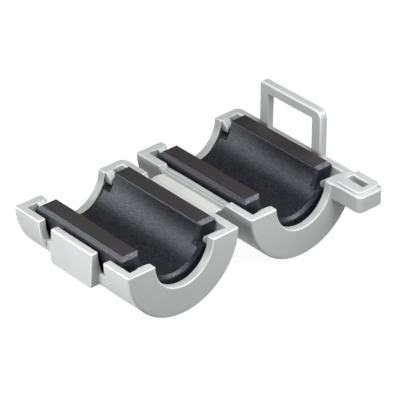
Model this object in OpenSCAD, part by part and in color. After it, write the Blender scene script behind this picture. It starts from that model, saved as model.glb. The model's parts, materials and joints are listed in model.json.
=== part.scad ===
// Clip-on ferrite bead for a round cable, lying open on its two round backs.
// All sizes are in millimetres. The origin is on the bore axis of the catch-side core, on
// its mating face. The cable runs along Y and the loop half lies out along +X.
// Every fit grows outwards from the cores: change a core and the case follows it.

/* [Ferrite cores] */
// Radius of the cable bore through the cores
bore_r = 7.9; // [4:0.1:12]
// Outer radius of the cores
core_r = 12.65; // [8:0.05:18]
// Length of the cores below their shoulders
core_l = 31.5; // [20:0.5:50]
// How far each shoulder steps in from the core end
shoulder_step = 1.9; // [1:0.1:3]
// Depth of the shoulders below the mating face
shoulder_depth = 4.5; // [3:0.1:6]
// Bevel along the outer and end edges of the mating faces
face_bevel = 0.85; // [0.2:0.05:1.5]
// Bevel at the two mouths of the bore
mouth_bevel = 0.7; // [0.2:0.05:1.5]
// Hairline bevel where the bore meets the mating faces
bore_edge = 0.25; // [0.1:0.05:0.6]
// Bevel round the outer end edges of the cores
core_edge = 0.6; // [0.2:0.05:1.2]
// How far the cores stand above the parting plane while the case is open
core_proud = 1.55; // [0.6:0.05:2.5]

/* [Case halves] */
// Gap between the sides of a core and its case
core_gap = 0.35; // [0.2:0.05:0.8]
// Gap between the ends of a core and the end walls
end_gap = 0.85; // [0.4:0.05:1.5]
// Thickness of the side walls at the parting plane
side_wall = 2; // [1.4:0.1:3]
// Thickness of the end walls
end_wall = 2; // [1.2:0.1:3]
// How far the middle of the round back lies above the parting plane
back_rise = 0.33; // [0:0.01:0.8]
// Radius of the cable ports in the end walls
port_r = 7.8; // [3.9:0.1:11.9]
// Rounding of the end edges of the round backs
back_edge = 0.5; // [0.2:0.05:1]
// Upright rounding of the plain case corners
plain_corner = 0.4; // [0.2:0.05:1.5]
// Upright rounding of the one soft far corner on each half
soft_corner = 1.6; // [0.4:0.1:3]

/* [Core claws] */
// Distance from the bore axis to the near side of each claw
claw_start = 8.25; // [5:0.05:13]
// Width of each claw
claw_w = 2.1; // [1.2:0.1:3]
// Reach of a claw from the end wall at its bore side
claw_reach = 2; // [1.4:0.1:2.6]
// Reach of a claw from the end wall at its far side
claw_reach_far = 1.2; // [0.8:0.1:2]
// Depth of the lead-in slope on top of a claw
claw_lead = 1.5; // [0.6:0.1:2]
// Gap between the claws and the core shoulders
claw_gap = 0.3; // [0.1:0.05:0.6]

/* [Living hinge] */
// Gap between the two halves while open
hinge_gap = 3.4; // [3.2:0.05:4.5]
// Length of the hinge web along the cable
web_l = 19.1; // [10:0.1:30]
// How far the hinge sits behind the middle of the case
hinge_shift = 0.2; // [-1:0.1:1]
// Thickness of the hinge web
web_t = 0.5; // [0.4:0.05:0.6]
// Depth of the top of the web below the parting plane
web_drop = 1.2; // [1:0.05:1.4]
// Gap left between the parting planes when closed
closed_gap = 0.1; // [0.05:0.05:0.3]
// Running clearance round each edge of the web
hinge_clear = 0.05; // [0.03:0.01:0.1]
// Radius of the lips that carry the web
lip_r = 0.65; // [0.5:0.05:0.9]
// Gap between each end of the web and its notch
notch_gap = 0.85; // [0.4:0.05:1.5]
// Rounding in the lower corners of the notches
notch_round = 0.8; // [0.2:0.1:1.1]
// Width of the deep step beside the web on the loop half
step_w = 0.35; // [0.3:0.05:0.6]
// Width of the ledge behind the deep step
ledge_w = 0.65; // [0.3:0.05:0.8]
// Depth of the ledge
ledge_drop = 0.9; // [0.6:0.05:1.1]
// Depth of the rim behind the ledge
rim_drop = 0.6; // [0.3:0.05:0.8]

/* [Latch loop] */
// Width of the window in the loop
window_w = 13.9; // [8:0.1:18]
// Height of the window above the parting plane
window_h = 9; // [7.2:0.1:10]
// Width of each leg of the loop
leg_w = 2.7; // [1.8:0.1:3.5]
// Height of the bar across the top of the loop
bar_h = 2.3; // [1.8:0.1:3.5]
// Thickness of the loop
loop_t = 2.1; // [1.2:0.1:2.4]
// Rounding of the outer corner of the loop nearer the lug
near_corner = 2; // [0.5:0.1:2.2]
// Rounding of the other outer corner of the loop
far_corner = 0.9; // [0.3:0.1:2.2]
// Rounding of the inner corners of the loop
window_corner = 0.35; // [0.2:0.05:1.5]
// How much wider the window is on its outer face, each side
window_draft = 0.35; // [0:0.05:0.6]
// Gap under the feet of the loop
foot_gap = 0.04; // [0.02:0.01:0.1]

/* [Catch] */
// Gap between the catch tongue and the legs of the loop
tongue_gap = 0.3; // [0.15:0.05:0.6]
// Gap beside the legs of the loop at the far sides of the slots
leg_gap = 0.75; // [0.3:0.05:1.2]
// Depth of the slots where they go through the wall
slot_depth = 5.2; // [3:0.1:6]
// Gap behind the legs where the slots run out on the back
relief_gap = 0.15; // [0.1:0.05:0.3]
// Play between the bar and the catch ledge when closed
latch_play = 0.8; // [0.3:0.05:1.2]
// How far the top of the catch plate sits in from the case side
plate_inset = 0.2; // [0:0.05:0.5]
// How far the foot of the catch plate stands out from the case side
plate_out = 0.26; // [0.1:0.02:0.6]
// Rounding of the one soft lower corner of the catch plate
plate_corner = 1.5; // [0.3:0.1:3]

/* [Cable-tie lug] */
// Distance from the bore axis to the inner side of the lug
lug_start = 7.95; // [7:0.05:11]
// Length of the lug in front of the case
lug_l = 8.6; // [6:0.1:12]
// Depth of the lug below the parting plane
lug_depth = 3.95; // [2.5:0.05:6]
// Upright rounding of the lug corners
lug_corner = 1.3; // [0.4:0.1:2.5]
// Height of the rim above the parting plane
rim_h = 0.6; // [0.3:0.05:1]
// How far the rim is set in from the inner side of the lug
rim_inset = 0.65; // [0.3:0.05:1.2]
// How far the rim is set in from the front of the lug
rim_front = 0.95; // [0.3:0.05:1.5]
// Gap between the rim and the case end
rim_start = 0.65; // [0.4:0.05:1]
// Width of the cable-tie slot
tie_w = 1.85; // [1.2:0.05:3]
// Length of the cable-tie slot
tie_l = 4.9; // [3:0.1:6]
// Distance from the case end to the cable-tie slot
tie_start = 1.05; // [0.8:0.05:1.6]
// Wall between the cable-tie slot and the outer side of the lug
tie_side = 1.8; // [1:0.1:2.5]

/* [Hidden] */
$fn = 96;
fine = 32;
over = 0.5;
cavity_r = core_r + core_gap;
case_r = cavity_r + side_wall;
core_half = core_l / 2;
leg_half = core_half - shoulder_step;
cavity_half = core_half + end_gap;
case_half = cavity_half + end_wall;
pitch = 2 * case_r + hinge_gap;
claw_under = core_proud - shoulder_depth + claw_gap;
axis_drop = web_drop + web_t / 2;
axis_span = 2 * axis_drop + closed_gap;
axis_u = (pitch - axis_span) / 2;
knuckle_r = web_t / 2 + hinge_clear;
notch_half = web_l / 2 + notch_gap;
leg_out = window_w / 2 + leg_w;
tongue_half = window_w / 2 - tongue_gap;
slot_out = leg_out + leg_gap;
relief_u = cavity_r - relief_gap;
ledge_z = -(window_h - closed_gap - latch_play);
plate_top_u = case_r - plate_inset;
plate_foot_u = case_r + plate_out;
lug_front = case_half + lug_l;
case_grey = "#C9CBC9";
ferrite_black = "#2C2B2F";

// What a convex rounding of radius r takes off a square corner at the origin
module corner_waste(r) {
  difference() {
    translate([-r, -r]) square(r + over);
    translate([-r, -r]) circle(r = r, $fn = fine);
  }
}

// A flat shape drawn in X and Z, run along Y about the middle
module along_y(length) {
  rotate([90, 0, 0]) linear_extrude(length, center = true) children();
}

// A flat shape drawn in Y and Z, run along X from the start
module along_x(start, length) {
  translate([start, 0, 0]) rotate([90, 0, 90]) linear_extrude(length) children();
}

module both_sides() {
  children();
  mirror([1, 0, 0]) children();
}

module both_ends() {
  children();
  mirror([0, 1, 0]) children();
}

// ---- Ferrite core, drawn about its bore axis with the mating face at z = 0 ----

module core_section() {
  difference() {
    circle(r = core_r);
    circle(r = bore_r);
    translate([-core_r - over, 0]) square([2 * core_r + 2 * over, core_r + over]);
    both_sides() polygon([
      [core_r - face_bevel, 0],
      [core_r + over, 0],
      [core_r + over, -face_bevel - over]
    ]);
    both_sides() polygon([
      [bore_r + bore_edge, 0],
      [bore_r - over, 0],
      [bore_r - over, -bore_edge - over]
    ]);
  }
}

module core_side() {
  polygon([
    [-leg_half + face_bevel, 0],
    [leg_half - face_bevel, 0],
    [leg_half, -face_bevel],
    [leg_half, -shoulder_depth],
    [core_half, -shoulder_depth],
    [core_half, core_edge - core_r],
    [core_half - core_edge, -core_r],
    [core_edge - core_half, -core_r],
    [-core_half, core_edge - core_r],
    [-core_half, -shoulder_depth],
    [-leg_half, -shoulder_depth],
    [-leg_half, -face_bevel]
  ]);
}

module bore_mouth(end) {
  both_ends()
    translate([0, end - mouth_bevel, 0])
      rotate([-90, 0, 0])
        cylinder(h = mouth_bevel + over, r1 = bore_r, r2 = bore_r + mouth_bevel + over);
}

module core() {
  difference() {
    intersection() {
      along_y(core_l) core_section();
      along_x(-core_r, 2 * core_r) core_side();
    }
    bore_mouth(core_half);
    intersection() {
      bore_mouth(leg_half);
      translate([-core_r, -core_l, -shoulder_depth]) cube([2 * core_r, 2 * core_l, shoulder_depth]);
    }
  }
}

// ---- Case half, drawn about its bore axis with the parting plane at z = 0 ----
// The hinge is on the -X side and the outer side is +X.

module back_profile() {
  difference() {
    translate([0, -case_half]) square([case_r, 2 * case_half]);
    translate([case_r, case_half]) corner_waste(back_edge);
    translate([case_r, -case_half]) mirror([0, 1]) corner_waste(back_edge);
  }
}

module case_plan(far_hinge, far_outer) {
  difference() {
    translate([-case_r, -case_half]) square([2 * case_r, 2 * case_half]);
    translate([case_r, case_half]) corner_waste(far_outer);
    translate([-case_r, case_half]) mirror([1, 0]) corner_waste(far_hinge);
    translate([-case_r, -case_half]) rotate(180) corner_waste(plain_corner);
    translate([case_r, -case_half]) mirror([0, 1]) corner_waste(plain_corner);
  }
}

module round_back(far_hinge, far_outer) {
  intersection() {
    translate([0, 0, back_rise]) rotate([90, 0, 0]) rotate_extrude() back_profile();
    translate([0, 0, -case_r]) linear_extrude(case_r) case_plan(far_hinge, far_outer);
  }
}

module hollow() {
  along_y(2 * cavity_half) circle(r = cavity_r);
  along_y(2 * case_half + 2 * over) circle(r = port_r);
}

module claw() {
  intersection() {
    along_x(claw_start, claw_w) polygon([
      [cavity_half + over, 0],
      [cavity_half, 0],
      [cavity_half - claw_reach, -claw_lead],
      [cavity_half - claw_reach, claw_under],
      [cavity_half + over, claw_under]
    ]);
    translate([0, 0, claw_under]) linear_extrude(-claw_under) polygon([
      [claw_start, cavity_half + over],
      [claw_start, cavity_half - claw_reach],
      [claw_start + claw_w, cavity_half - claw_reach_far],
      [claw_start + claw_w, cavity_half + over]
    ]);
  }
}

// Lowers the wall beside the hinge to a depth, from outside in to the distance u
module hinge_notch(u, depth) {
  translate([0, hinge_shift, 0]) along_x(-case_r - over, case_r + over - u) difference() {
    translate([-notch_half, -depth]) square([2 * notch_half, depth + over]);
    both_sides() translate([notch_half, -depth]) mirror([0, 1]) corner_waste(min(notch_round, depth));
  }
}

module hinge_lip() {
  translate([-axis_u, hinge_shift, -axis_drop]) along_y(web_l) intersection() {
    circle(r = lip_r, $fn = fine);
    translate([0, -lip_r]) square(lip_r);
  }
}

// Room for the rounded edge of the web, open above so that it can stand upright
module hinge_room() {
  translate([-axis_u, hinge_shift, -axis_drop]) along_y(web_l + notch_gap) {
    circle(r = knuckle_r, $fn = fine);
    translate([-case_r, 0]) square([case_r + knuckle_r, axis_drop + over]);
  }
}

module leg_slots() {
  both_ends() {
    translate([relief_u - side_wall, tongue_half, -slot_depth])
      cube([2 * side_wall + over, slot_out - tongue_half, slot_depth + over]);
    translate([relief_u, tongue_half, -case_r])
      cube([side_wall + over, slot_out - tongue_half, case_r + over]);
  }
}

// Side view of the catch plate: it leans out towards its ledge
module plate_lean() {
  polygon([
    [cavity_r - side_wall, 0],
    [plate_top_u, 0],
    [plate_foot_u, ledge_z],
    [cavity_r - side_wall, ledge_z]
  ]);
}

// Front view of the catch plate, with one soft lower corner
module plate_face() {
  difference() {
    translate([-tongue_half, ledge_z]) square([2 * tongue_half, -ledge_z]);
    translate([tongue_half, ledge_z]) mirror([0, 1]) corner_waste(plate_corner);
  }
}

module catch_plate() {
  intersection() {
    along_y(2 * tongue_half) plate_lean();
    along_x(0, plate_foot_u) plate_face();
  }
}

// What stands outside the leaning face of the tongue
module tongue_waste() {
  along_y(2 * tongue_half) polygon([
    [plate_top_u, 0],
    [plate_top_u, over],
    [plate_foot_u + over, over],
    [plate_foot_u + over, ledge_z],
    [plate_foot_u, ledge_z]
  ]);
}

module lug_plan() {
  difference() {
    translate([lug_start, -lug_front]) square([case_r - lug_start, lug_l]);
    translate([lug_start, -lug_front]) rotate(180) corner_waste(lug_corner);
    translate([case_r, -lug_front]) mirror([0, 1]) corner_waste(lug_corner);
  }
}

module rim_plan() {
  difference() {
    translate([lug_start + rim_inset, rim_front - lug_front])
      square([case_r - lug_start - rim_inset, lug_l - rim_front - rim_start]);
    translate([lug_start + rim_inset, rim_front - lug_front]) rotate(180) corner_waste(lug_corner);
    translate([case_r, rim_front - lug_front]) mirror([0, 1]) corner_waste(lug_corner);
  }
}

module tie_lug() {
  difference() {
    union() {
      translate([0, 0, -lug_depth]) linear_extrude(lug_depth) lug_plan();
      translate([0, 0, -over]) linear_extrude(rim_h + over) rim_plan();
      translate([lug_start + over, -case_half - over, -lug_depth])
        cube([case_r - lug_start - 3 * over, 2 * over, lug_depth]);
    }
    translate([case_r - tie_side - tie_w, -case_half - tie_start - tie_l, -lug_depth - over])
      cube([tie_w, tie_l, lug_depth + rim_h + 2 * over]);
  }
}

module catch_half() {
  difference() {
    union() {
      difference() {
        union() {
          difference() {
            round_back(soft_corner, plain_corner);
            tongue_waste();
          }
          catch_plate();
          hinge_lip();
        }
        hollow();
      }
      both_sides() both_ends() claw();
    }
    leg_slots();
    hinge_notch(cavity_r - over, web_drop);
    hinge_room();
  }
}

module loop_half() {
  difference() {
    union() {
      difference() {
        union() {
          round_back(plain_corner, soft_corner);
          hinge_lip();
        }
        hollow();
      }
      both_sides() both_ends() claw();
      tie_lug();
    }
    hinge_notch(case_r - step_w, web_drop);
    hinge_notch(case_r - step_w - ledge_w, ledge_drop);
    hinge_notch(cavity_r - over, rim_drop);
    hinge_room();
  }
}

module loop_window() {
  translate([-window_w / 2, foot_gap - over]) square([window_w, window_h - foot_gap + over]);
}

// Opens the window towards its outer face
module window_flare() {
  linear_extrude(window_h) polygon([
    [cavity_r, window_w / 2],
    [cavity_r + loop_t + over, window_w / 2 + window_draft * (loop_t + over) / loop_t],
    [cavity_r + loop_t + over, 0],
    [cavity_r, 0]
  ]);
}

module loop_frame() {
  difference() {
    along_x(cavity_r, loop_t) difference() {
      translate([-leg_out, foot_gap]) square([2 * leg_out, window_h + bar_h - foot_gap]);
      translate([leg_out, window_h + bar_h]) corner_waste(far_corner);
      translate([-leg_out, window_h + bar_h]) mirror([1, 0]) corner_waste(near_corner);
      difference() {
        loop_window();
        both_sides() translate([window_w / 2, window_h]) corner_waste(window_corner);
      }
    }
    both_ends() translate([0, 0, -window_corner]) window_flare();
  }
}

module web() {
  along_y(web_l) difference() {
    square([axis_span + web_t, web_t], center = true);
    both_sides() both_ends() translate([(axis_span + web_t) / 2, web_t / 2]) corner_waste(web_t / 2);
  }
}

// ---- The six nodes in place ----

module catch_case() {
  color(case_grey) translate([0, 0, -core_proud]) mirror([1, 0, 0]) catch_half();
}

module loop_case() {
  color(case_grey) translate([pitch, 0, -core_proud]) loop_half();
}

module hinge_web() {
  color(case_grey) translate([pitch / 2, hinge_shift, -core_proud - axis_drop]) web();
}

module latch_loop() {
  color(case_grey) translate([pitch, 0, -core_proud]) loop_frame();
}

module catch_core() {
  color(ferrite_black) core();
}

module loop_core() {
  color(ferrite_black) translate([pitch, 0, 0]) core();
}

catch_case();
hinge_web();
loop_case();
latch_loop();
catch_core();
loop_core();
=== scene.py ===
import json
import math

import bmesh
import bpy
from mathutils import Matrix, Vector

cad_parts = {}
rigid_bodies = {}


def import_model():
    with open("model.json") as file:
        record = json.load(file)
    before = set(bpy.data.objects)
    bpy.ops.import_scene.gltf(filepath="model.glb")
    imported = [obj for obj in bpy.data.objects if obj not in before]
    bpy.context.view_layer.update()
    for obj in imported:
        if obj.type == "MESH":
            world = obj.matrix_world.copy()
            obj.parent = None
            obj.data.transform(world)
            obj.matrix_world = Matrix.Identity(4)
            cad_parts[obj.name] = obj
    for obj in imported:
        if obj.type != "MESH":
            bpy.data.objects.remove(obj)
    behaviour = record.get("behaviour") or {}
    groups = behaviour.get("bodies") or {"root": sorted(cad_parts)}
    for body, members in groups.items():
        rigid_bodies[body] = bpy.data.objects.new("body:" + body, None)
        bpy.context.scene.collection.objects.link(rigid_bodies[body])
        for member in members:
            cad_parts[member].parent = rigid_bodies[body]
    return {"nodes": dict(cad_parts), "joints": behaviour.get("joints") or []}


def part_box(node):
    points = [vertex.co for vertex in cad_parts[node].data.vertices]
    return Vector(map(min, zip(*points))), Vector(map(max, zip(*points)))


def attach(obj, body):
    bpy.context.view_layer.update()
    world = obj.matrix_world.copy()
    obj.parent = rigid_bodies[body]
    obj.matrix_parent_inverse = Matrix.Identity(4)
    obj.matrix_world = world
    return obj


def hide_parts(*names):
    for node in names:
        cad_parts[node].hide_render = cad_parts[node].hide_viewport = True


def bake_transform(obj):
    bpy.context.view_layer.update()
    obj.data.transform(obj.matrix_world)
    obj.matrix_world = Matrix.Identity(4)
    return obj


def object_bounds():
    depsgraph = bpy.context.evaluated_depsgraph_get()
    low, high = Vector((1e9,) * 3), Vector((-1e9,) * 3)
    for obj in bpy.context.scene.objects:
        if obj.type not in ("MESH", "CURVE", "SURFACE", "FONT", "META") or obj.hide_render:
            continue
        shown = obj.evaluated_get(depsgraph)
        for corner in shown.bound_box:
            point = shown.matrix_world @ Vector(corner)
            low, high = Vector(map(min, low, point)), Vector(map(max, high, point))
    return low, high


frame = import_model()
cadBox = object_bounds()
mm = 0.001
# in metres: vertices this close are one vertex, and a length this small is none
sameSpot = 1e-6
tiny = 1e-7

# the bore axes run along Y; the ferrite faces lie at z = 0
catchLow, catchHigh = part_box("catch_core")
loopLow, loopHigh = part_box("loop_core")
boreX = {"catch": (catchLow[0] + catchHigh[0]) / 2, "loop": (loopLow[0] + loopHigh[0]) / 2}
print("frame loaded, bores at", [round(x / mm, 2) for x in boreX.values()], "mm")


def toLinear(code):
    # an sRGB hex colour as the linear values that a socket takes
    values = [int(code[i:i + 2], 16) / 255 for i in (1, 3, 5)]
    return [v / 12.92 if v <= 0.04045 else ((v + 0.055) / 1.055) ** 2.4 for v in values] + [1.0]


def addNode(tree, kind, links=None, **settings):
    # settings are the node's own; links fill its inputs with values or with other nodes' outputs
    node = tree.nodes.new(kind)
    for name, value in settings.items():
        setattr(node, name, value)
    for socket, value in (links or {}).items():
        if isinstance(value, bpy.types.NodeSocket):
            tree.links.new(value, node.inputs[socket])
        else:
            node.inputs[socket].default_value = value
    return node


# sockets of the Mix node share their names, so they are found by place
mixFactor, mixValueA, mixValueB, mixColourA, mixColourB = 0, 2, 3, 6, 7
mixedValue, mixedColour = 0, 2


def perMetre(sizeInMm):
    # texture scale that repeats about once in this many millimetres
    return 1 / (sizeInMm * mm)


def emptyMaterial(name):
    material = bpy.data.materials.new(name)
    material.use_nodes = True
    material.node_tree.nodes.clear()
    return material, material.node_tree


# sizes in millimetres; roughness runs between the two values from patch to patch
nylonLook = {
    "face": {"colour": "#C2C4C4", "cloudColour": "#B6B9B9"},
    # the web is painted lighter than the faces, standing in for the brighter light that falls on it
    "web": {"colour": "#D6D7D4", "cloudColour": "#CDCECB"},
    # the colour and roughness of the painted highlight on the rounded edges
    "edgeHighlightColour": "#D6D8D7",
    "edgeHighlightRoughness": 0.42,
    # the colour of the painted shade on the walls of the hollow around the core
    "cavityShadeColour": "#5C5A5B",
    "cloudSize": 5.0,
    "sheenPatch": 1.6,
    "roughness": (0.33, 0.45),
    "grainSize": 0.22,
    "grainDepth": 0.006,
    "indexOfRefraction": 1.53,
    "subsurface": 0.12,
    "subsurfaceReach": 0.8,
}


def mouldedNylon(name, part):
    # polyamide 66, injection moulded in a lightly eroded tool: a satin skin, faintly clouded by flow
    look = {**nylonLook, **nylonLook[part]}
    material, tree = emptyMaterial(name)
    place = addNode(tree, "ShaderNodeTexCoord").outputs["Object"]
    cloud = addNode(tree, "ShaderNodeTexNoise", {
        "Vector": place, "Scale": perMetre(look["cloudSize"]), "Detail": 3.0, "Roughness": 0.55,
    })
    tint = addNode(tree, "ShaderNodeMix", {
        mixFactor: cloud.outputs["Fac"],
        mixColourA: toLinear(look["colour"]),
        mixColourB: toLinear(look["cloudColour"]),
    }, data_type="RGBA")
    patch = addNode(tree, "ShaderNodeTexNoise", {
        "Vector": place, "Scale": perMetre(look["sheenPatch"]), "Detail": 2.0,
    })
    low, high = look["roughness"]
    gloss = addNode(tree, "ShaderNodeMapRange", {
        "Value": patch.outputs["Fac"], "From Min": 0.3, "From Max": 0.7, "To Min": low, "To Max": high,
    })
    # painted highlight: the rounded edges are drawn paler than the faces, standing in for the light they
    # catch
    edgeHighlight = addNode(tree, "ShaderNodeAttribute", attribute_name="paintedEdgeHighlight").outputs["Fac"]
    paler = addNode(tree, "ShaderNodeMix", {
        mixFactor: edgeHighlight,
        mixColourA: tint.outputs[mixedColour],
        mixColourB: toLinear(look["edgeHighlightColour"]),
    }, data_type="RGBA")
    evened = addNode(tree, "ShaderNodeMix", {
        mixFactor: edgeHighlight, mixValueA: gloss.outputs[0], mixValueB: look["edgeHighlightRoughness"],
    })
    # painted shade: the walls of the hollow for the core are darkened deeper down, standing in for the shade
    # that falls there
    shaded = addNode(tree, "ShaderNodeAttribute", attribute_name="paintedCavityShade").outputs["Fac"]
    shadedTint = addNode(tree, "ShaderNodeMix", {
        mixFactor: shaded,
        mixColourA: paler.outputs[mixedColour],
        mixColourB: toLinear(look["cavityShadeColour"]),
    }, data_type="RGBA")
    # the tool's own grain is near 0.05 mm; it is drawn coarser so that it shows at all
    grain = addNode(tree, "ShaderNodeTexNoise", {
        "Vector": place, "Scale": perMetre(look["grainSize"]), "Detail": 2.0,
    })
    bump = addNode(tree, "ShaderNodeBump", {
        "Height": grain.outputs["Fac"], "Distance": look["grainDepth"] * mm, "Strength": 0.6,
    })
    skin = addNode(tree, "ShaderNodeBsdfPrincipled", {
        "Base Color": shadedTint.outputs[mixedColour],
        "Roughness": evened.outputs[mixedValue],
        "Normal": bump.outputs[0],
        "IOR": look["indexOfRefraction"],
        "Subsurface Weight": look["subsurface"],
        "Subsurface Radius": (1.0, 0.95, 0.9),
        "Subsurface Scale": look["subsurfaceReach"] * mm,
    })
    addNode(tree, "ShaderNodeOutputMaterial", {"Surface": skin.outputs[0]})
    return material


# grainShare is the share of granules that stay as dark as the body; pebbles are the relief they leave
pressedLook = {
    "colour": "#141519",
    "grainColour": "#43454E",
    "shineColour": "#EBECF8",
    "grainSize": 0.21,
    "grainShare": 0.5,
    "pebbleSize": 0.294,
    "pebbleDepth": 0.035,
    "mottleSize": 1.8,
    "roughness": (0.34, 0.55),
    "indexOfRefraction": 1.55,
}


def pressedFerrite():
    # ferrite as it leaves the kiln: near-black ceramic, the granules of the pressed powder still showing
    look = pressedLook
    material, tree = emptyMaterial("pressed ferrite")
    place = addNode(tree, "ShaderNodeTexCoord").outputs["Object"]
    cells = addNode(tree, "ShaderNodeTexVoronoi", {"Vector": place, "Scale": perMetre(look["grainSize"])})
    pick = addNode(tree, "ShaderNodeSeparateColor", {"Color": cells.outputs["Color"]})
    bright = addNode(tree, "ShaderNodeMapRange", {
        "Value": pick.outputs["Red"], "From Min": look["grainShare"], "From Max": 1.0,
    })
    mottle = addNode(tree, "ShaderNodeTexNoise", {
        "Vector": place, "Scale": perMetre(look["mottleSize"]), "Detail": 4.0,
    })
    amount = addNode(tree, "ShaderNodeMath", {
        0: bright.outputs[0], 1: mottle.outputs["Fac"],
    }, operation="MULTIPLY")
    tint = addNode(tree, "ShaderNodeMix", {
        mixFactor: amount.outputs[0],
        mixColourA: toLinear(look["colour"]),
        mixColourB: toLinear(look["grainColour"]),
    }, data_type="RGBA")
    low, high = look["roughness"]
    gloss = addNode(tree, "ShaderNodeMapRange", {
        "Value": pick.outputs["Green"], "To Min": low, "To Max": high,
    })
    pebble = addNode(tree, "ShaderNodeTexNoise", {
        "Vector": place, "Scale": perMetre(look["pebbleSize"]), "Detail": 3.0, "Roughness": 0.7,
    })
    bump = addNode(tree, "ShaderNodeBump", {
        "Height": pebble.outputs["Fac"], "Distance": look["pebbleDepth"] * mm, "Strength": 0.8,
    })
    skin = addNode(tree, "ShaderNodeBsdfPrincipled", {
        "Base Color": tint.outputs[mixedColour],
        "Roughness": gloss.outputs[0],
        "Normal": bump.outputs[0],
        "IOR": look["indexOfRefraction"],
        "Specular Tint": toLinear(look["shineColour"]),
    })
    addNode(tree, "ShaderNodeOutputMaterial", {"Surface": skin.outputs[0]})
    return material


groundLook = {
    "colour": "#242021",
    "streakColour": "#2E2A2B",
    "streakWidth": 0.35,
    "streakLength": 12.0,
    "scratchDepth": 0.003,
    "roughness": (0.5, 0.62),
    "indexOfRefraction": 1.6,
}


def groundFerrite():
    # the mating faces are ground flat so that no air gap is left: brownish, dull, with faint lines along
    # the cut
    look = groundLook
    material, tree = emptyMaterial("ground ferrite")
    place = addNode(tree, "ShaderNodeTexCoord").outputs["Object"]
    across, along = perMetre(look["streakWidth"]), perMetre(look["streakLength"])
    stretch = addNode(tree, "ShaderNodeMapping", {"Vector": place, "Scale": (across, along, across)})
    streak = addNode(tree, "ShaderNodeTexNoise", {
        "Vector": stretch.outputs[0], "Scale": 1.0, "Detail": 3.0,
    })
    tint = addNode(tree, "ShaderNodeMix", {
        mixFactor: streak.outputs["Fac"],
        mixColourA: toLinear(look["colour"]),
        mixColourB: toLinear(look["streakColour"]),
    }, data_type="RGBA")
    low, high = look["roughness"]
    gloss = addNode(tree, "ShaderNodeMapRange", {
        "Value": streak.outputs["Fac"], "From Min": 0.3, "From Max": 0.7, "To Min": low, "To Max": high,
    })
    bump = addNode(tree, "ShaderNodeBump", {
        "Height": streak.outputs["Fac"], "Distance": look["scratchDepth"] * mm, "Strength": 0.5,
    })
    skin = addNode(tree, "ShaderNodeBsdfPrincipled", {
        "Base Color": tint.outputs[mixedColour],
        "Roughness": gloss.outputs[0],
        "Normal": bump.outputs[0],
        "IOR": look["indexOfRefraction"],
    })
    addNode(tree, "ShaderNodeOutputMaterial", {"Surface": skin.outputs[0]})
    return material


nylon = mouldedNylon("moulded grey nylon", "face")
# a paler copy of the nylon for the web, painted lighter for the light on it
webNylon = mouldedNylon("grey nylon web painted lighter", "web")
pressed = pressedFerrite()
ground = groundFerrite()
for node in ("catch_case", "loop_case", "latch_loop", "hinge_web"):
    frame["nodes"][node].data.materials.clear()
    frame["nodes"][node].data.materials.append(nylon)
for node in ("catch_core", "loop_core"):
    frame["nodes"][node].data.materials.clear()
    frame["nodes"][node].data.materials.append(pressed)
print("finishes made")


# how far a rounding may use the face beside it, and how quickly its radius may change along a line;
# lengths in millimetres, angles in degrees; level and angled are cosines between two edges
roundingRules = {
    "shareOfRoom": 0.42,
    "leastShare": 0.15,
    "widening": 1.6,
    "sweeps": 6,
    "sameLine": 40.1,
    "samplesAlong": (0.03, 0.27, 0.5, 0.73, 0.97),
    "pastEnds": 0.02,
    "level": 0.9995,
    "angled": 0.9,
    "angledReach": 2.0,
    "softRounds": 2,
    "softWithin": 0.45,
    "softTurn": 9,
}
# creases sharper than these angles are drawn together if a side beside them is shorter than this
foldRules = {"sweeps": 8, "crease": 100, "creaseSide": 0.15, "fold": 150, "foldSide": 0.30}
# faces are one flat patch if the cosine between their normals is above sameFlat
patchRules = {"foldedFlat": 160, "flatWithin": 1.5, "sameFlat": 0.9999}


def mergedCopy(node, seams=()):
    # the node as one clean skin; cuts across Y at the seams keep its ring-shaped faces open
    bm = bmesh.new()
    bm.from_mesh(frame["nodes"][node].data)
    bmesh.ops.remove_doubles(bm, verts=bm.verts, dist=sameSpot)
    foldedFlat = math.radians(patchRules["foldedFlat"])
    folded = [e for e in bm.edges if e.is_manifold and e.calc_face_angle() > foldedFlat]
    bmesh.ops.dissolve_edges(bm, edges=folded, use_verts=False)
    for y in seams:
        everything = bm.verts[:] + bm.edges[:] + bm.faces[:]
        cut = bmesh.ops.bisect_plane(bm, geom=everything, plane_co=(0, y * mm, 0), plane_no=(0, 1, 0))
        for item in cut["geom_cut"]:
            if isinstance(item, bmesh.types.BMEdge):
                item.seam = True
    flatWithin = math.radians(patchRules["flatWithin"])
    bmesh.ops.dissolve_limit(bm, angle_limit=flatWithin, verts=bm.verts, edges=bm.edges, delimit={"SEAM"})
    return bm


def patchRim(face):
    # the rim of the flat patch that this face belongs to
    patch, queue = {face}, [face]
    while queue:
        for edge in queue.pop().edges:
            for other in edge.link_faces:
                if other not in patch and other.normal.dot(face.normal) > patchRules["sameFlat"]:
                    patch.add(other)
                    queue.append(other)
    rim = [e for f in patch for e in f.edges if sum(n in patch for n in e.link_faces) == 1]
    return sorted(rim, key=lambda e: e.index)


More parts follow.
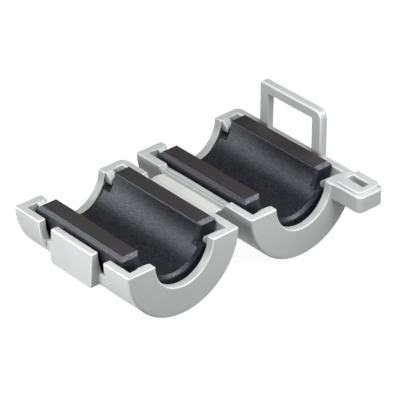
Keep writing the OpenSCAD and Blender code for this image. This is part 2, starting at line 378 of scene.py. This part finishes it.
def roomAcross(edge, rims):
    # how far a rounding may reach into the faces beside an edge, and the soft edges that stop it
    rules = roundingRules
    room, stops = math.inf, []
    for face in edge.link_faces:
        loop = next(l for l in face.loops if l.edge is edge)
        start, end = loop.vert.co, loop.link_loop_next.vert.co
        along = (end - start).normalized()
        inward = face.normal.cross(along)
        for other in rims[face]:
            if other is edge:
                continue
            p, q = other.verts[0].co, other.verts[1].co
            shared = [v for v in other.verts if v in edge.verts]
            if shared:
                # a side that leaves the edge's end at an angle leaves room for twice its own reach
                way = other.other_vert(shared[0]).co - shared[0].co
                if way.length > tiny and abs(way.normalized().dot(along)) < rules["angled"]:
                    room = min(room, rules["angledReach"] * abs(way.dot(inward)))
                continue
            span = q - p
            turn = inward.cross(span).dot(face.normal)
            if turn == 0:
                continue
            for t in rules["samplesAlong"]:
                gap = p - start.lerp(end, t)
                reach = gap.cross(span).dot(face.normal) / turn
                hit = gap.cross(inward).dot(face.normal) / turn
                if reach > tiny and -rules["pastEnds"] <= hit <= 1 + rules["pastEnds"]:
                    room = min(room, reach)
                    level = abs(span.normalized().dot(along)) > rules["level"]
                    soft = other.calc_face_angle(0) < math.radians(rules["softTurn"])
                    if level and soft and reach < rules["softWithin"] * mm:
                        stops.append(other)
    return room, stops


def sizeRoundings(bm, radius, sharpDegrees, keep=lambda edge: False):
    # each sharp outer edge gets the full radius, or as much of it as its surroundings leave room for
    rules = roundingRules
    weight = bm.edges.layers.float.new("bevel_weight_edge")
    for attempt in range(rules["softRounds"] + 1):
        bm.edges.index_update()
        sharp = [
            e for e in bm.edges
            if e.is_manifold and e.calc_face_angle_signed(0) > math.radians(sharpDegrees) and not keep(e)
        ]
        rims = {}
        for edge in sharp:
            for face in edge.link_faces:
                if face not in rims:
                    rims[face] = patchRim(face)
        found = {e: roomAcross(e, rims) for e in sharp}
        narrow = sorted({s for room, stops in found.values() for s in stops}, key=lambda e: e.index)
        if attempt == rules["softRounds"] or not narrow:
            break
        bmesh.ops.dissolve_edges(bm, edges=narrow, use_verts=True)
    width = {e: min(radius, rules["shareOfRoom"] * room) for e, (room, stops) in found.items()}
    for sweep in range(rules["sweeps"]):
        for edge in sharp:
            for vert in edge.verts:
                way = edge.other_vert(vert).co - vert.co
                for other in vert.link_edges:
                    if other is edge or other not in width:
                        continue
                    onward = vert.co - other.other_vert(vert).co
                    if way.angle(onward) < math.radians(rules["sameLine"]):
                        width[edge] = min(width[edge], width[other] * rules["widening"])
    for edge in sharp:
        if width[edge] > radius * rules["leastShare"]:
            edge[weight] = width[edge] / radius
    return sum(e[weight] > 0 for e in sharp), len(sharp)


def evaluated(mesh, modifiers):
    # the mesh with these modifiers applied
    rough = bpy.data.objects.new("rough", mesh)
    bpy.context.collection.objects.link(rough)
    for kind, settings in modifiers.items():
        modifier = rough.modifiers.new(kind, kind)
        for setting, value in settings.items():
            setattr(modifier, setting, value)
    bpy.context.view_layer.update()
    depsgraph = bpy.context.evaluated_depsgraph_get()
    applied = bpy.data.meshes.new_from_object(rough.evaluated_get(depsgraph))
    bpy.data.objects.remove(rough)
    return applied


def closeFolds(bm):
    # where roundings run out, thin triangles can fold over their neighbours: each is drawn together along
    # its short side
    rules = foldRules
    crease, fold = math.radians(rules["crease"]), math.radians(rules["fold"])
    closed = 0
    for sweep in range(rules["sweeps"]):
        bm.edges.index_update()
        short = set()
        for edge in bm.edges:
            turn = edge.calc_face_angle(0)
            if turn <= crease:
                continue
            shortSide = (rules["foldSide"] if turn > fold else rules["creaseSide"]) * mm
            for face in edge.link_faces:
                side = min(face.edges, key=lambda e: (e.calc_length(), e.index))
                if side.calc_length() < shortSide:
                    short.add(side)
        if not short:
            break
        bmesh.ops.collapse(bm, edges=sorted(short, key=lambda e: e.index))
        closed += len(short)
    bmesh.ops.dissolve_degenerate(bm, dist=tiny, edges=bm.edges)
    # drawing sides together can leave a single triangle hanging from an edge of the closed skin
    loose = [f for f in bm.faces if sum(e.is_boundary for e in f.edges) > 1]
    bmesh.ops.delete(bm, geom=loose, context="FACES")
    return closed


def bakedPiece(bm, name, finish, materials):
    # the skin with its weighted edges rounded, as an object of its own
    mesh = bpy.data.meshes.new(name + "Rough")
    bm.to_mesh(mesh)
    bm.free()
    for polygon in mesh.polygons:
        polygon.use_smooth = True
    mesh.set_sharp_from_angle(angle=math.radians(finish["sharp"] - 2))
    for material in materials + [None]:
        mesh.materials.append(material)
    # the empty last material slot marks the faces that the rounding makes
    rounding = len(materials)
    rounded = evaluated(mesh, {
        "BEVEL": {
            "limit_method": "WEIGHT", "width": finish["edgeRadius"] * mm, "segments": finish["segments"],
            "use_clamp_overlap": False, "loop_slide": False, "material": rounding,
        },
        "TRIANGULATE": {},
    })
    # the middle of every rounding is marked, so that a finish can tell edges from faces; the nylon paints
    # its edge highlight on these marks
    marks = [1.0] * len(rounded.vertices)
    for polygon in rounded.polygons:
        if polygon.material_index != rounding:
            for vertex in polygon.vertices:
                marks[vertex] = 0.0
        else:
            polygon.material_index = 0
    rounded.attributes.new("paintedEdgeHighlight", "FLOAT", "POINT").data.foreach_set("value", marks)
    rounded.materials.pop(index=rounding)
    bm = bmesh.new()
    bm.from_mesh(rounded)
    closed = closeFolds(bm)
    bm.to_mesh(rounded)
    bm.free()
    baked = evaluated(rounded, {"WEIGHTED_NORMAL": {"keep_sharp": True, "weight": 80}})
    baked.name = name
    piece = bpy.data.objects.new(name, baked)
    bpy.context.collection.objects.link(piece)
    print(name, "has", len(baked.polygons), "faces,", closed, "folds closed")
    return piece


# the case halves, in millimetres and degrees
caseFinish = {
    "edgeRadius": 0.32,
    "segments": 3,
    "sharp": 50,
    "seams": (4.0, -22.0),
    # boxes around short edges that stay sharp because a rounding there would fold over itself:
    # the lug's rim and its foot, and the two sides of the catch window
    "crisp": [
        ((48.35, -26.5, -1.0), (48.45, -18.5, -0.9)),
        ((47.30, -18.7, -5.6), (48.5, -18.5, -1.6)),
        ((-14.2, 10.3, -9.6), (-12.4, 10.6, -6.4)),
        ((-14.2, -10.6, -9.6), (-12.4, -10.3, -6.4)),
    ],
}
# the round back: its radius and axis, and the rounding where it meets the flat ends; the rest says how near
# to that shape a corner of the mesh must lie, and face, to take its normal
backShape = {
    "radius": 15.0,
    "axisZ": -1.22,
    "halfLength": 18.6,
    "endRounding": 0.5,
    "outsideBy": 0.02,
    "insideBy": 0.03,
    "roundingBy": 0.06,
    "aboveAxis": 0.05,
    "sameWay": 0.86,
}
# the hollow that holds the core; the painted shade on its walls starts at the upper of the two depths below
# and is full at the lower one
cavityShape = {
    "radius": 13.0,
    "halfLength": 16.6,
    "portRadius": 7.8,
    "portMargin": 0.6,
    "roundBy": 0.04,
    "endBy": 0.02,
    "shadeTop": -1.65,
    "shadeFull": -2.6,
}


def staysCrisp(edge):
    centre = (edge.verts[0].co + edge.verts[1].co) / (2 * mm)
    return any(
        all(low <= value <= high for low, value, high in zip(start, centre, end))
        for start, end in caseFinish["crisp"]
    )


def shadeCavity(piece, centreX):
    # marks the walls around the core, away from the cable port, for painted shade that darkens them with
    # depth
    shape = {key: value * mm for key, value in cavityShape.items()}
    shadeLevels = []
    for vertex in piece.data.vertices:
        x, y, z = vertex.co
        reach = math.hypot(x - centreX, z)
        onRound = abs(reach - shape["radius"]) < shape["roundBy"]
        onRound = onRound and abs(y) < shape["halfLength"] + shape["endBy"]
        onEnd = abs(abs(y) - shape["halfLength"]) < shape["endBy"]
        inner, outer = shape["portRadius"] + shape["portMargin"], shape["radius"] + shape["roundBy"]
        onEnd = onEnd and inner < reach < outer
        depth = (z - shape["shadeTop"]) / (shape["shadeFull"] - shape["shadeTop"])
        shadeLevels.append(min(max(depth, 0), 1) if onRound or onEnd else 0)
    piece.data.attributes.new("paintedCavityShade", "FLOAT", "POINT").data.foreach_set("value", shadeLevels)
    return sum(d > 0 for d in shadeLevels)


def trueBackNormals(piece, centreX):
    # shading of the round back and its rounded ends follows the real curve, not the facets
    shape = {key: value * mm for key, value in backShape.items()}
    back, soft = shape["radius"], shape["endRounding"]
    end = shape["halfLength"] - soft
    mesh = piece.data
    normals = [Vector(n.vector) for n in mesh.corner_normals]
    changed = 0
    for polygon in mesh.polygons:
        for corner in polygon.loop_indices:
            place = mesh.vertices[mesh.loops[corner].vertex_index].co
            out = Vector((place.x - centreX, 0, place.z - shape["axisZ"]))
            inReach = back - soft - shape["outsideBy"] <= out.length <= back + shape["outsideBy"]
            if not inReach or out.z > shape["aboveAxis"]:
                continue
            radial = out.normalized()
            if abs(place.y) <= end + tiny:
                if out.length < back - shape["insideBy"]:
                    continue
                true = radial
            else:
                over = abs(place.y) - end
                sideways = Vector((0, math.copysign(over, place.y), 0))
                true = radial * max(out.length - back + soft, 0) + sideways
                if abs(true.length - soft) > shape["roundingBy"]:
                    continue
                true.normalize()
            if polygon.normal.dot(true) > backShape["sameWay"]:
                normals[corner] = true
                changed += 1
    mesh.normals_split_custom_set(normals)
    return changed


def caseHalf(name, node, body, centreX):
    bm = mergedCopy(node, caseFinish["seams"])
    rounded, total = sizeRoundings(bm, caseFinish["edgeRadius"] * mm, caseFinish["sharp"], keep=staysCrisp)
    piece = bakedPiece(bm, name, caseFinish, [nylon])
    changed = trueBackNormals(piece, centreX)
    shaded = shadeCavity(piece, centreX)
    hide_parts(node)
    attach(piece, body)
    print(name, "rounded", rounded, "of", total, "edges,", changed, "true normals,", shaded, "dusty corners")
    return piece


catchCase = caseHalf("catchCase", "catch_case", "catch_half", boreX["catch"])
loopCase = caseHalf("loopCase", "loop_case", "loop_half", boreX["loop"])


# the latch loop: its feet reach footDepth into the wall, and its legs are cut into bendSteps rings from the
# floor up to bendHeight
latchFinish = {
    "edgeRadius": 0.42,
    "segments": 4,
    "sharp": 50,
    "footBand": 0.01,
    "footDepth": 0.35,
    "bendBelow": 0.05,
    "bendHeight": 2.4,
    "bendSteps": 6,
}


def latchPiece():
    look = latchFinish
    bm = mergedCopy("latch_loop")
    floorZ = min(v.co.z for v in bm.verts)
    footTop = floorZ + look["footBand"] * mm

    def inFoot(edge):
        return all(v.co.z < footTop for v in edge.verts)

    rounded, total = sizeRoundings(bm, look["edgeRadius"] * mm, look["sharp"], keep=inFoot)
    piece = bakedPiece(bm, "latchLoop", look, [nylon])
    # the feet run on into the wall, and the legs are cut into rings
    bm = bmesh.new()
    bm.from_mesh(piece.data)
    for vert in bm.verts:
        if vert.co.z < footTop:
            vert.co.z -= look["footDepth"] * mm
    for step in range(look["bendSteps"]):
        level = floorZ + look["bendHeight"] * mm * step / (look["bendSteps"] - 1)
        everything = bm.verts[:] + bm.edges[:] + bm.faces[:]
        bmesh.ops.bisect_plane(bm, geom=everything, plane_co=(0, 0, level), plane_no=(0, 0, 1))
    bmesh.ops.triangulate(bm, faces=[f for f in bm.faces if len(f.verts) > 4])
    bm.to_mesh(piece.data)
    bm.free()
    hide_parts("latch_loop")
    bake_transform(piece)
    print("latchLoop rounded", rounded, "of", total, "edges")
    return piece


latchLoop = latchPiece()


# the section across the hinge, in millimetres from each hinge axis: along the top from the wall to the
# middle, then back along the underside; each axis lies under a groove, and a rib stands at the loop half.
# The bend's two ends are worked out bendReach to each side of an axis, and the strip has the web's paler,
# painted-lighter finish to webReach past it
hingeFinish = {
    "catchTop": [
        (-0.50, 0.12), (-0.28, 0.12), (-0.14, 0.05), (0.04, 0.03),
        (0.22, 0.08), (0.38, 0.19), (0.54, 0.25), (0.80, 0.25),
    ],
    "catchUnder": [
        (0.80, -0.25), (0.40, -0.25), (0.18, -0.25), (0.0, -0.25),
        (-0.10, -0.22), (-0.20, -0.15), (-0.30, -0.05), (-0.50, -0.05),
    ],
    "loopTop": [
        (0.90, 0.50), (0.88, 0.72), (0.78, 0.80), (0.62, 0.80), (0.50, 0.75), (0.43, 0.60), (0.36, 0.30),
        (0.24, 0.08), (0.08, 0.0), (-0.10, 0.02), (-0.28, 0.12), (-0.44, 0.22), (-0.60, 0.25), (-0.90, 0.25),
    ],
    "loopUnder": [
        (-0.90, -0.25), (-0.40, -0.25), (-0.18, -0.25), (0.0, -0.25),
        (0.10, -0.22), (0.20, -0.15), (0.30, -0.05), (0.60, 0.10),
    ],
    "rings": 14,
    "edgeRadius": 0.09,
    "segments": 2,
    "sharp": 50,
    "bendReach": 0.45,
    "webReach": 0.2,
    "middleBand": 0.01,
    "endFacing": 0.9,
}


def sweepTree():
    # a closed section carried straight along Y, with its ends filled
    tree = bpy.data.node_groups.new("hinge section sweep", "GeometryNodeTree")
    inputs = {
        "Section": "Geometry", "Front End": "Float", "Back End": "Float",
        "Rings": "Int", "Finish": "Material",
    }
    for label, kind in inputs.items():
        tree.interface.new_socket(label, in_out="INPUT", socket_type="NodeSocket" + kind)
    tree.interface.new_socket("Web", in_out="OUTPUT", socket_type="NodeSocketGeometry")
    given = addNode(tree, "NodeGroupInput").outputs
    front = addNode(tree, "ShaderNodeCombineXYZ", {"Y": given["Front End"]})
    back = addNode(tree, "ShaderNodeCombineXYZ", {"Y": given["Back End"]})
    line = addNode(tree, "GeometryNodeCurvePrimitiveLine", {
        "Start": front.outputs[0], "End": back.outputs[0],
    })
    path = addNode(tree, "GeometryNodeResampleCurve", {"Curve": line.outputs[0], "Count": given["Rings"]})
    upright = addNode(tree, "GeometryNodeSetCurveNormal", {"Curve": path.outputs[0]}, mode="Z_UP")
    outline = addNode(tree, "GeometryNodeMeshToCurve", {"Mesh": given["Section"]})
    swept = addNode(tree, "GeometryNodeCurveToMesh", {
        "Curve": upright.outputs[0], "Profile Curve": outline.outputs[0], "Fill Caps": True,
    })
    real = addNode(tree, "GeometryNodeRealizeInstances", {"Geometry": swept.outputs[0]})
    finished = addNode(tree, "GeometryNodeSetMaterial", {
        "Geometry": real.outputs[0], "Material": given["Finish"],
    })
    addNode(tree, "NodeGroupOutput", {"Web": finished.outputs[0]})
    return tree


def sweptSection(name, tree, section, front, back):
    # the sweep lays a section's second coordinate downwards, so it is drawn upside down
    bm = bmesh.new()
    corners = [bm.verts.new((x, -z, 0)) for x, z in section]
    for i, corner in enumerate(corners):
        bm.edges.new((corner, corners[(i + 1) % len(corners)]))
    mesh = bpy.data.meshes.new(name)
    bm.to_mesh(mesh)
    bm.free()
    outline = bpy.data.objects.new(name, mesh)
    bpy.context.collection.objects.link(outline)
    sweep = outline.modifiers.new("sweep", "NODES")
    sweep.node_group = tree
    wanted = {"Front End": front, "Back End": back, "Rings": hingeFinish["rings"], "Finish": webNylon}
    for item in tree.interface.items_tree:
        if item.in_out == "INPUT" and item.name in wanted:
            sweep[item.identifier] = wanted[item.name]
    bpy.context.view_layer.update()
    depsgraph = bpy.context.evaluated_depsgraph_get()
    swept = bpy.data.meshes.new_from_object(outline.evaluated_get(depsgraph))
    bpy.data.objects.remove(outline)
    bm = bmesh.new()
    bm.from_mesh(swept)
    bmesh.ops.remove_doubles(bm, verts=bm.verts, dist=sameSpot)
    bmesh.ops.recalc_face_normals(bm, faces=bm.faces)
    return bm


def hingeSkin(name, tree, sections, joint, middle):
    # half of the web: it runs into one case half at its hinge axis and meets the other skin in the middle
    look = hingeFinish
    low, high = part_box("hinge_web")
    axisX, _, axisZ = joint["pos_m"]
    top, under = (look[key] for key in sections)
    half = (middle - axisX) / mm
    offsets = top + [(half, top[-1][1]), (half, under[0][1])] + under
    section = [(axisX + x * mm, axisZ + z * mm) for x, z in offsets]
    bm = sweptSection(name, tree, section, low[1], high[1])
    # the two ends are rounded all round, except where the other skin carries on
    weight = bm.edges.layers.float.new("bevel_weight_edge")
    for edge in bm.edges:
        ends = [f for f in edge.link_faces if abs(f.normal.y) > look["endFacing"]]
        if len(ends) == 1 and any(abs(v.co.x - middle) > look["middleBand"] * mm for v in edge.verts):
            edge[weight] = 1.0
    # beyond webReach the strip has the case's own finish
    for face in bm.faces:
        if abs(face.calc_center_median().x - middle) > abs(axisX - middle) + look["webReach"] * mm:
            face.material_index = 1
    piece = bakedPiece(bm, name, look, [webNylon, nylon])
    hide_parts("hinge_web")
    toMiddle = math.copysign(look["bendReach"] * mm, middle - axisX)
    a, b = joint["parent"], joint["child"]
    start, end = (axisX - toMiddle, 0, axisZ), (axisX + toMiddle, 0, axisZ)
    if b != "web":
        start, end = end, start
    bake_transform(piece)
    print(name, "bends between", a, "and", b)
    return piece


folds = {j["name"]: j for j in frame["joints"] if j["name"] in ("web_fold", "case_fold")}
hingeMiddle = (folds["web_fold"]["pos_m"][0] + folds["case_fold"]["pos_m"][0]) / 2
sectionSweep = sweepTree()
catchSkin = hingeSkin("catchSkin", sectionSweep, ("catchTop", "catchUnder"), folds["web_fold"], hingeMiddle)
loopSkin = hingeSkin("loopSkin", sectionSweep, ("loopTop", "loopUnder"), folds["case_fold"], hingeMiddle)


coreFinish = {"edgeRadius": 0.1, "segments": 2, "sharp": 35, "groundBand": 0.01, "groundFacing": 0.99}


def ferriteCore(name, node, body):
    look = coreFinish
    bm = mergedCopy(node)
    rounded, total = sizeRoundings(bm, look["edgeRadius"] * mm, look["sharp"])
    piece = bakedPiece(bm, name, look, [pressed, ground])
    # only the mating faces, level at z = 0, are ground
    for polygon in piece.data.polygons:
        if polygon.normal.z > look["groundFacing"] and polygon.center.z > -look["groundBand"] * mm:
            polygon.material_index = 1
    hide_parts(node)
    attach(piece, body)
    print(name, "rounded", rounded, "of", total, "edges")
    return piece


catchCore = ferriteCore("catchCore", "catch_core", "core_in_catch")
loopCore = ferriteCore("loopCore", "loop_core", "core_in_loop")


studio = {"floorSize": 3.0, "floorColour": "#666666", "floorLift": 0.95, "ambient": 0.08}

# each softbox: the way it lies from the clip, how far off, how wide, and how bright its face is;
# a sheenOnly box is seen in reflections alone, a fillOnly box never
softboxes = {
    "leftBackStrip": {
        "way": (-0.74, 0.58, 0.34), "away": 0.14, "size": 0.11, "level": 4.5, "sheenOnly": True,
    },
    "leftBox": {"way": (-0.96, -0.05, 0.22), "away": 0.1, "size": 0.06, "level": 6.6},
    "topBox": {"way": (0.08, -0.40, 0.91), "away": 0.18, "size": 0.11, "level": 6.9},
    "rightFrontBox": {
        "way": (0.56, -0.52, 0.64), "away": 0.4, "size": 0.11, "level": 27.0, "sheenOnly": True,
    },
    "rightFrontFill": {
        "way": (0.56, -0.52, 0.64), "away": 0.4, "size": 0.11, "level": 5.0, "fillOnly": True,
    },
    "frontFill": {"way": (0.04, -0.84, 0.54), "away": 0.08, "size": 0.05, "level": 3.6, "fillOnly": True},
    "backFill": {"way": (0.15, 0.92, 0.36), "away": 0.5, "size": 0.3, "level": 2.6, "fillOnly": True},
}

# angles in degrees, target and lens in millimetres, distance and clip in metres, shift in picture widths
camera = {
    "azimuth": -41.21,
    "elevation": 31.62,
    "distance": 0.572,
    "lens": 243.5,
    "target": (16.7, 0.0, -1.55),
    "shift": (0.0338, -0.0280),
    "clip": (0.01, 10),
}


def studioFloor():
    look = studio
    half = look["floorSize"] / 2
    z = cadBox[0][2]
    bm = bmesh.new()
    corners = ((-half, -half), (half, -half), (half, half), (-half, half))
    bm.faces.new([bm.verts.new((x, y, z)) for x, y in corners])
    mesh = bpy.data.meshes.new("studioFloor")
    bm.to_mesh(mesh)
    bm.free()
    floor = bpy.data.objects.new("studioFloor", mesh)
    bpy.context.collection.objects.link(floor)
    # grey for the light it passes on, lifted to white for the camera and for what mirrors it
    material, tree = emptyMaterial("white studio paper")
    rays = addNode(tree, "ShaderNodeLightPath").outputs
    seen = addNode(tree, "ShaderNodeMath", {
        0: rays["Is Camera Ray"], 1: rays["Is Glossy Ray"],
    }, operation="MAXIMUM")
    lift = addNode(tree, "ShaderNodeMath", {0: seen.outputs[0], 1: look["floorLift"]}, operation="MULTIPLY")
    paper = addNode(tree, "ShaderNodeBsdfDiffuse", {"Color": toLinear(look["floorColour"])})
    glow = addNode(tree, "ShaderNodeEmission", {"Strength": lift.outputs[0]})
    both = addNode(tree, "ShaderNodeAddShader", {0: paper.outputs[0], 1: glow.outputs[0]})
    addNode(tree, "ShaderNodeOutputMaterial", {"Surface": both.outputs[0]})
    mesh.materials.append(material)
    return floor


def softbox(name, look):
    light = bpy.data.lights.new(name, "AREA")
    light.size = look["size"]
    light.energy = look["level"] * math.pi * look["size"] ** 2
    lamp = bpy.data.objects.new(name, light)
    lamp.visible_camera = False
    lamp.visible_diffuse = not look.get("sheenOnly", False)
    lamp.visible_glossy = not look.get("fillOnly", False)
    way = Vector(look["way"]).normalized()
    lamp.location = Vector(camera["target"]) * mm + way * look["away"]
    lamp.rotation_euler = way.to_track_quat("Z", "Y").to_euler()
    bpy.context.collection.objects.link(lamp)


def studioSky():
    # white behind everything, and a faint even light on the object
    world = bpy.data.worlds.new("white studio")
    world.use_nodes = True
    tree = world.node_tree
    tree.nodes.clear()
    rays = addNode(tree, "ShaderNodeLightPath").outputs
    seen = addNode(tree, "ShaderNodeMath", {
        0: rays["Is Camera Ray"], 1: rays["Is Transmission Ray"],
    }, operation="MAXIMUM")
    level = addNode(tree, "ShaderNodeMapRange", {
        "Value": seen.outputs[0], "To Min": studio["ambient"], "To Max": 1.0,
    })
    sky = addNode(tree, "ShaderNodeBackground", {"Color": (1, 1, 1, 1), "Strength": level.outputs[0]})
    addNode(tree, "ShaderNodeOutputWorld", {"Surface": sky.outputs[0]})
    bpy.context.scene.world = world


def studioCamera():
    look = camera
    data = bpy.data.cameras.new("studioCamera")
    data.lens = look["lens"]
    data.clip_start, data.clip_end = look["clip"]
    data.shift_x, data.shift_y = look["shift"]
    eye = bpy.data.objects.new("studioCamera", data)
    a, e = math.radians(look["azimuth"]), math.radians(look["elevation"])
    away = Vector((math.sin(a) * math.cos(e), -math.cos(a) * math.cos(e), math.sin(e)))
    eye.location = Vector(look["target"]) * mm + away * look["distance"]
    eye.rotation_euler = away.to_track_quat("Z", "Y").to_euler()
    bpy.context.collection.objects.link(eye)
    bpy.context.scene.camera = eye


studioFloor()
for name, look in softboxes.items():
    softbox(name, look)
studioSky()
studioCamera()
bpy.context.scene.view_settings.view_transform = "Standard"
print("studio ready")
